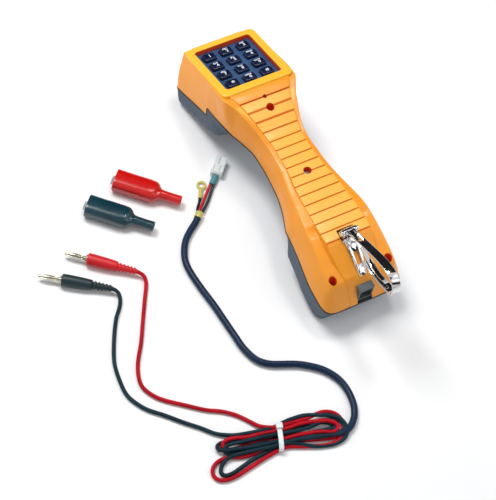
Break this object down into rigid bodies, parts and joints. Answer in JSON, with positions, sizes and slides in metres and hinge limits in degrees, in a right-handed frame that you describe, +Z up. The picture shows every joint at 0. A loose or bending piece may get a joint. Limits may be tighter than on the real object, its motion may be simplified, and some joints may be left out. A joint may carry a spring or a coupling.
{
  "type": "lineman test handset kit",
  "caption": "Telephone line test handset with keypad, ribbed grip and belt clip, a bundled line cord ending in banana plugs, and two booted alligator clips.",
  "frame": {"origin": "centre of the bottom of the box round the handset and the two clips, on the bench plane; the cord set isn't counted", "axes": "+Z up from the bench, +Y along the handset from the cord jack to the ear cup, +X across it"},
  "size_m": [0.2416, 0.3264, 0.0894],
  "materials": {
    "case_yellow": "satin moulded",
    "case_blue": "fine texture",
    "seal_black": "matt",
    "plate_blue": "fine texture",
    "key_navy": "satin",
    "membrane_grey": "matt",
    "board_green": "lacquered",
    "lamp_red": "clear",
    "steel": "plated",
    "capsule_aluminium": "satin",
    "jack_slate": "fine texture",
    "contact_brass": "plated",
    "clip_chrome": "polished",
    "switch_grey": "fine texture",
    "cord_navy": "smooth vinyl",
    "lead_red": "smooth vinyl",
    "lead_black": "smooth vinyl",
    "nylon_white": "nylon",
    "sleeve_yellow": "clear vinyl",
    "lug_tin": "tinned",
    "strand_black": "braided",
    "shrink_teal": "smooth",
    "connector_white": "nylon",
    "plug_red": "satin",
    "plug_black": "satin",
    "pin_nickel": "nickel plated",
    "boot_red": "glossy vinyl",
    "boot_black": "glossy vinyl",
    "jaw_steel": "plated"
  },
  "bodies": {
    "case": {"upper_shell": "case_yellow", "lower_shell": "case_blue", "shell_seal": "seal_black", "keypad_plate": "plate_blue", "key_membrane": "membrane_grey", "keypad_board": "board_green", "status_lamp": "lamp_red", "case_screws": "steel", "main_board": "board_green", "receiver_capsule": "capsule_aluminium", "mic_capsule": "capsule_aluminium", "jack_housing": "jack_slate", "jack_contacts": "contact_brass", "clip_bracket": "clip_chrome", "clip_rivets": "steel", "clip_pin": "clip_chrome"},
    "key_1": {"key_1": "key_navy"},
    "key_2": {"key_2": "key_navy"},
    "key_3": {"key_3": "key_navy"},
    "key_4": {"key_4": "key_navy"},
    "key_5": {"key_5": "key_navy"},
    "key_6": {"key_6": "key_navy"},
    "key_7": {"key_7": "key_navy"},
    "key_8": {"key_8": "key_navy"},
    "key_9": {"key_9": "key_navy"},
    "key_star": {"key_star": "key_navy"},
    "key_0": {"key_0": "key_navy"},
    "key_hash": {"key_hash": "key_navy"},
    "clip_hook": {"clip_hook": "clip_chrome"},
    "clip_gate": {"clip_gate": "clip_chrome"},
    "talk_switch": {"talk_switch": "switch_grey"},
    "dial_switch": {"dial_switch": "switch_grey"},
    "mute_button": {"mute_button": "switch_grey"},
    "cord_set": {"main_cord": "cord_navy", "red_lead": "lead_red", "black_lead": "lead_black", "lead_hank": "lead_black", "cable_tie": "nylon_white", "cord_sleeve": "sleeve_yellow", "red_tail": "lead_red", "black_tail": "lead_black", "stay_strand": "strand_black", "stay_lug": "lug_tin", "shrink_sleeve": "shrink_teal", "line_connector": "connector_white", "red_plug_body": "plug_red", "red_plug_pin": "pin_nickel", "black_plug_body": "plug_black", "black_plug_pin": "pin_nickel"},
    "red_clip": {"red_boot": "boot_red", "red_fixed_jaw": "jaw_steel", "red_jaw_spring": "steel", "red_jaw_pivot": "jaw_steel"},
    "red_jaw": {"red_moving_jaw": "jaw_steel"},
    "black_clip": {"black_boot": "boot_black", "black_fixed_jaw": "jaw_steel", "black_jaw_spring": "steel", "black_jaw_pivot": "jaw_steel"},
    "black_jaw": {"black_moving_jaw": "jaw_steel"}
  },
  "joints": [
    {"name": "key_1_press", "type": "slide", "parent": "case", "child": "key_1", "axis": [0, -0.309, -0.9511], "range_m": [0, 0.0012], "stiffness_N_per_m": 800, "springref_m": -0.0008},
    {"name": "key_2_press", "type": "slide", "parent": "case", "child": "key_2", "axis": [0, -0.309, -0.9511], "range_m": [0, 0.0012], "stiffness_N_per_m": 800, "springref_m": -0.0008},
    {"name": "key_3_press", "type": "slide", "parent": "case", "child": "key_3", "axis": [0, -0.309, -0.9511], "range_m": [0, 0.0012], "stiffness_N_per_m": 800, "springref_m": -0.0008},
    {"name": "key_4_press", "type": "slide", "parent": "case", "child": "key_4", "axis": [0, -0.309, -0.9511], "range_m": [0, 0.0012], "stiffness_N_per_m": 800, "springref_m": -0.0008},
    {"name": "key_5_press", "type": "slide", "parent": "case", "child": "key_5", "axis": [0, -0.309, -0.9511], "range_m": [0, 0.0012], "stiffness_N_per_m": 800, "springref_m": -0.0008},
    {"name": "key_6_press", "type": "slide", "parent": "case", "child": "key_6", "axis": [0, -0.309, -0.9511], "range_m": [0, 0.0012], "stiffness_N_per_m": 800, "springref_m": -0.0008},
    {"name": "key_7_press", "type": "slide", "parent": "case", "child": "key_7", "axis": [0, -0.309, -0.9511], "range_m": [0, 0.0012], "stiffness_N_per_m": 800, "springref_m": -0.0008},
    {"name": "key_8_press", "type": "slide", "parent": "case", "child": "key_8", "axis": [0, -0.309, -0.9511], "range_m": [0, 0.0012], "stiffness_N_per_m": 800, "springref_m": -0.0008},
    {"name": "key_9_press", "type": "slide", "parent": "case", "child": "key_9", "axis": [0, -0.309, -0.9511], "range_m": [0, 0.0012], "stiffness_N_per_m": 800, "springref_m": -0.0008},
    {"name": "key_star_press", "type": "slide", "parent": "case", "child": "key_star", "axis": [0, -0.309, -0.9511], "range_m": [0, 0.0012], "stiffness_N_per_m": 800, "springref_m": -0.0008},
    {"name": "key_0_press", "type": "slide", "parent": "case", "child": "key_0", "axis": [0, -0.309, -0.9511], "range_m": [0, 0.0012], "stiffness_N_per_m": 800, "springref_m": -0.0008},
    {"name": "key_hash_press", "type": "slide", "parent": "case", "child": "key_hash", "axis": [0, -0.309, -0.9511], "range_m": [0, 0.0012], "stiffness_N_per_m": 800, "springref_m": -0.0008},
    {"name": "clip_hinge", "type": "hinge", "parent": "case", "child": "clip_hook", "pos_m": [0.057, -0.0695, 0.066], "axis": [1, 0, 0], "range_deg": [-110, 24]},
    {"name": "gate_hinge", "type": "hinge", "parent": "clip_hook", "child": "clip_gate", "pos_m": [0.057, -0.0695, 0.066], "axis": [-1, 0, 0], "range_deg": [0, 8], "stiffness_Nm_per_rad": 0.4, "springref_deg": -5.73},
    {"name": "talk_slide", "type": "slide", "parent": "case", "child": "talk_switch", "axis": [0, 1, 0], "range_m": [-0.004, 0.004]},
    {"name": "dial_slide", "type": "slide", "parent": "case", "child": "dial_switch", "axis": [0, 1, 0], "range_m": [-0.002, 0.002]},
    {"name": "mute_press", "type": "slide", "parent": "case", "child": "mute_button", "axis": [0, 0, 1], "range_m": [0, 0.0012], "stiffness_N_per_m": 700, "springref_m": -0.0008},
    {"name": "cord_lift", "type": "slide", "parent": "case", "child": "cord_set", "axis": [0, 0, 1], "range_m": [0, 0.02]},
    {"name": "red_clip_lift", "type": "slide", "parent": "case", "child": "red_clip", "axis": [0, 0, 1], "range_m": [0, 0.03]},
    {"name": "black_clip_lift", "type": "slide", "parent": "case", "child": "black_clip", "axis": [0, 0, 1], "range_m": [0, 0.03]},
    {"name": "red_jaw_hinge", "type": "hinge", "parent": "red_clip", "child": "red_jaw", "pos_m": [-0.04221, 0.05541, 0.0065], "axis": [0.7071, 0.7071, 0], "range_deg": [0, 9], "stiffness_Nm_per_rad": 0.8, "springref_deg": -8.59},
    {"name": "black_jaw_hinge", "type": "hinge", "parent": "black_clip", "child": "black_jaw", "pos_m": [-0.07151, 0.04331, 0.0065], "axis": [0.7071, 0.7071, 0], "range_deg": [0, 9], "stiffness_Nm_per_rad": 0.8, "springref_deg": -8.59}
  ]
}
